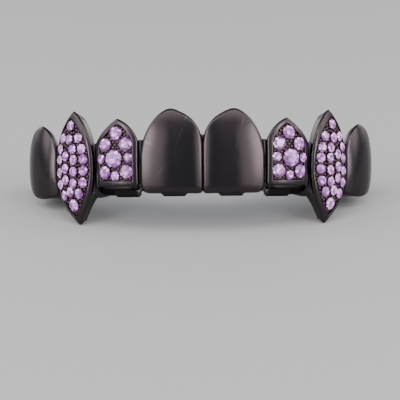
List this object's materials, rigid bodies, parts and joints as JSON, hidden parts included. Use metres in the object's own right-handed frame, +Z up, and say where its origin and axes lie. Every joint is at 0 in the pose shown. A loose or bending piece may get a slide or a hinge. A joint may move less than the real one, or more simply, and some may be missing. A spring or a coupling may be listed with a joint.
{
  "type": "vampire fang denture",
  "caption": "Wearable upper tooth caps in black-plated metal: plain pointed front caps, long stone-set fangs and lateral caps, joined by a channel open for the wearer's teeth.",
  "frame": {"origin": "middle of the underside of the bounding box, as the part stands on a level surface", "axes": "+X across the arch, +Y from the front caps to the back of the arch, +Z up"},
  "size_m": [0.0506, 0.0202, 0.0175],
  "materials": {
    "black_plate": "polished black-plated casting with fine wear",
    "lavender_stone": "brilliant-cut lavender stones"
  },
  "bodies": {
    "root": {"cap_frame": "black_plate", "stone_top_right": "lavender_stone", "stone_upper_far_right": "lavender_stone", "stone_upper_near_right": "lavender_stone", "stone_centre_right": "lavender_stone", "stone_side_far_right": "lavender_stone", "stone_side_near_right": "lavender_stone", "stone_lower_far_right": "lavender_stone", "stone_lower_middle_right": "lavender_stone", "stone_lower_near_right": "lavender_stone", "stone_top_left": "lavender_stone", "stone_upper_far_left": "lavender_stone", "stone_upper_near_left": "lavender_stone", "stone_centre_left": "lavender_stone", "stone_side_far_left": "lavender_stone", "stone_side_near_left": "lavender_stone", "stone_lower_far_left": "lavender_stone", "stone_lower_middle_left": "lavender_stone", "stone_lower_near_left": "lavender_stone", "fang_pave_right": "lavender_stone", "fang_pave_left": "lavender_stone"}
  },
  "joints": []
}
